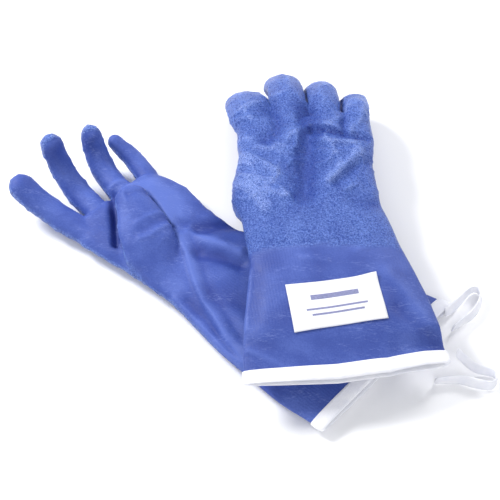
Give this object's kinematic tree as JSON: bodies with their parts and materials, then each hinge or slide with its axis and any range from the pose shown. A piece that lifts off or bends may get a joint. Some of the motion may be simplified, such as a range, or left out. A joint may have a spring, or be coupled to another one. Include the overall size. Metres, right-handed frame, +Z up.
{
  "type": "cryogenic gloves",
  "caption": "Pair of blue insulated gauntlet gloves with coated shells, knit liners, white taped hems and hanging loops, laid crosswise, one palm up and one palm down.",
  "frame": {"origin": "centre of the pair's bounding box on the surface it lies on, hanging loops left out", "axes": "+X along the pair's longest side, from the left glove's fingertips to the right glove's hem corner; +Y towards the right glove's fingertips; +Z up"},
  "size_m": [0.4481, 0.4028, 0.0697],
  "materials": {
    "smooth_nitrile": "satin",
    "rough_nitrile": "rough, sandy",
    "insulation_felt": "matte",
    "liner_knit": "matte",
    "cotton_tape": "matte",
    "white_thread": "matte",
    "woven_label": "matte"
  },
  "bodies": {
    "left_hand": {"left_shell": "smooth_nitrile", "left_insulation": "insulation_felt", "left_liner": "liner_knit", "left_grip_coat": "rough_nitrile", "left_hem_binding": "cotton_tape", "left_hem_stitching": "white_thread", "left_hanging_loop": "cotton_tape"},
    "left_index": {"left_index_finger_shell": "smooth_nitrile", "left_index_finger_liner": "liner_knit"},
    "left_middle": {"left_middle_finger_shell": "smooth_nitrile", "left_middle_finger_liner": "liner_knit"},
    "left_ring": {"left_ring_finger_shell": "smooth_nitrile", "left_ring_finger_liner": "liner_knit"},
    "left_little": {"left_little_finger_shell": "smooth_nitrile", "left_little_finger_liner": "liner_knit"},
    "left_thumb": {"left_thumb_shell": "smooth_nitrile", "left_thumb_liner": "liner_knit"},
    "right_hand": {"right_shell": "smooth_nitrile", "right_insulation": "insulation_felt", "right_liner": "liner_knit", "right_grip_coat": "rough_nitrile", "right_hem_binding": "cotton_tape", "right_hem_stitching": "white_thread", "right_label": "woven_label", "right_hanging_loop": "cotton_tape"},
    "right_index": {"right_index_finger_shell": "rough_nitrile", "right_index_finger_liner": "liner_knit"},
    "right_middle": {"right_middle_finger_shell": "rough_nitrile", "right_middle_finger_liner": "liner_knit"},
    "right_ring": {"right_ring_finger_shell": "rough_nitrile", "right_ring_finger_liner": "liner_knit"},
    "right_little": {"right_little_finger_shell": "rough_nitrile", "right_little_finger_liner": "liner_knit"},
    "right_thumb": {"right_thumb_shell": "rough_nitrile", "right_thumb_liner": "liner_knit"}
  },
  "joints": [
    {"name": "left_index_bend", "type": "hinge", "parent": "left_hand", "child": "left_index", "pos_m": [-0.1425, 0.01655, 0.016], "axis": [0.5, 0.866, 0], "range_deg": [-25, 15], "stiffness_Nm_per_rad": 0.25},
    {"name": "left_middle_bend", "type": "hinge", "parent": "left_hand", "child": "left_middle", "pos_m": [-0.13274, 0.0453, 0.016], "axis": [0.7314, 0.682, 0], "range_deg": [-35, 10], "stiffness_Nm_per_rad": 0.25},
    {"name": "left_ring_bend", "type": "hinge", "parent": "left_hand", "child": "left_ring", "pos_m": [-0.11172, 0.07082, 0.016], "axis": [0.766, 0.6428, 0], "range_deg": [-35, 10], "stiffness_Nm_per_rad": 0.25},
    {"name": "left_little_bend", "type": "hinge", "parent": "left_hand", "child": "left_little", "pos_m": [-0.07585, 0.07937, 0.016], "axis": [0.866, 0.5, 0], "range_deg": [-20, 12], "stiffness_Nm_per_rad": 0.25},
    {"name": "left_thumb_bend", "type": "hinge", "parent": "left_hand", "child": "left_thumb", "pos_m": [-0.07124, -0.01297, 0.037], "axis": [0.9613, 0.2756, 0], "range_deg": [0, 30], "stiffness_Nm_per_rad": 0.25},
    {"name": "right_index_bend", "type": "hinge", "parent": "right_hand", "child": "right_index", "pos_m": [0.02567, 0.12617, 0.045], "axis": [0.95, 0.3123, 0], "range_deg": [-10, 30], "stiffness_Nm_per_rad": 0.25},
    {"name": "right_middle_bend", "type": "hinge", "parent": "right_hand", "child": "right_middle", "pos_m": [0.06059, 0.14333, 0.046], "axis": [0.9921, 0.1253, 0], "range_deg": [-10, 30], "stiffness_Nm_per_rad": 0.25},
    {"name": "right_ring_bend", "type": "hinge", "parent": "right_hand", "child": "right_ring", "pos_m": [0.09715, 0.13849, 0.045], "axis": [0.9993, 0.0384, 0], "range_deg": [-10, 30], "stiffness_Nm_per_rad": 0.25},
    {"name": "right_little_bend", "type": "hinge", "parent": "right_hand", "child": "right_little", "pos_m": [0.12729, 0.12566, 0.0465], "axis": [0.9993, 0.0384, 0], "range_deg": [-10, 30], "stiffness_Nm_per_rad": 0.25},
    {"name": "right_thumb_bend", "type": "hinge", "parent": "right_hand", "child": "right_thumb", "pos_m": [0.0265, 0.0293, 0.021], "axis": [0.95, 0.3123, 0], "range_deg": [-20, 0], "stiffness_Nm_per_rad": 0.25},
    {"name": "right_glove_lift", "type": "slide", "parent": "left_hand", "child": "right_hand", "axis": [0, 0, 1], "range_m": [0, 0.15]}
  ]
}
